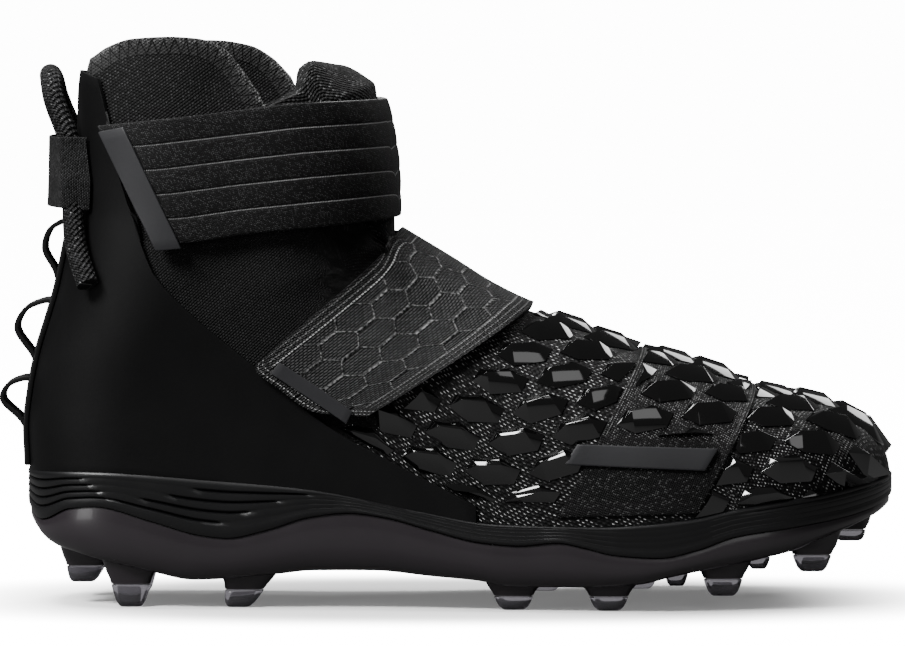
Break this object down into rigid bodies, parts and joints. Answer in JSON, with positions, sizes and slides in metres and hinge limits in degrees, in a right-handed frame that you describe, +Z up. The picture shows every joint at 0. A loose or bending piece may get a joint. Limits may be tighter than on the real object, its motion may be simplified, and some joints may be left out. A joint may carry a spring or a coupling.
{
  "type": "american football cleat",
  "caption": "High black football cleat for the right foot: hollow strapped upper with raised scales, pull cord at the heel and a moulded sole plate with clear-tipped studs.",
  "frame": {"origin": "middle of the bounding box's underside, on the plane that the studs stand on", "axes": "+X from heel to toe, +Y to the medial side, +Z up; the pictured lateral side faces -Y"},
  "size_m": [0.309, 0.1022, 0.1978],
  "materials": {
    "black_woven": "woven mesh",
    "black_smooth_shell": "smooth matte synthetic",
    "black_knit": "pile knit",
    "black_strap": "woven elastic and webbing",
    "dark_grey_tab": "smooth satin",
    "black_foam_rubber": "satin",
    "smoky_plate": "smoky, polished",
    "gloss_black_scale": "glossy moulded",
    "black_cord": "braided",
    "clear_tip": "clear, polished"
  },
  "bodies": {
    "root": {"ankle_strap": "black_strap", "ankle_tab_lateral": "dark_grey_tab", "ankle_tab_medial": "dark_grey_tab", "cord_sleeve": "black_strap", "forefoot_strap": "black_strap", "forefoot_strap_scales": "gloss_black_scale", "forefoot_tab_lateral": "dark_grey_tab", "forefoot_tab_medial": "dark_grey_tab", "heel_tape": "black_strap", "insole": "black_knit", "midfoot_strap": "black_strap", "midfoot_tab_lateral": "dark_grey_tab", "midfoot_tab_medial": "dark_grey_tab", "midsole": "black_foam_rubber", "outsole": "smoky_plate", "pull_cord": "black_cord", "quarter_shell": "black_smooth_shell", "stud_ball_lateral": "clear_tip", "stud_ball_medial": "clear_tip", "stud_ball_rear_lateral": "clear_tip", "stud_ball_rear_medial": "clear_tip", "stud_centre_front": "clear_tip", "stud_centre_rear": "clear_tip", "stud_front_lateral": "clear_tip", "stud_front_medial": "clear_tip", "stud_heel_back_lateral": "clear_tip", "stud_heel_back_medial": "clear_tip", "stud_heel_front_lateral": "clear_tip", "stud_heel_front_medial": "clear_tip", "stud_heel_lateral": "clear_tip", "stud_heel_medial": "clear_tip", "stud_toe_lateral": "clear_tip", "stud_toe_medial": "clear_tip", "stud_toe_tip": "clear_tip", "toe_scales": "gloss_black_scale", "tongue": "black_knit", "upper": "black_woven", "vamp_scales": "gloss_black_scale"}
  },
  "joints": []
}
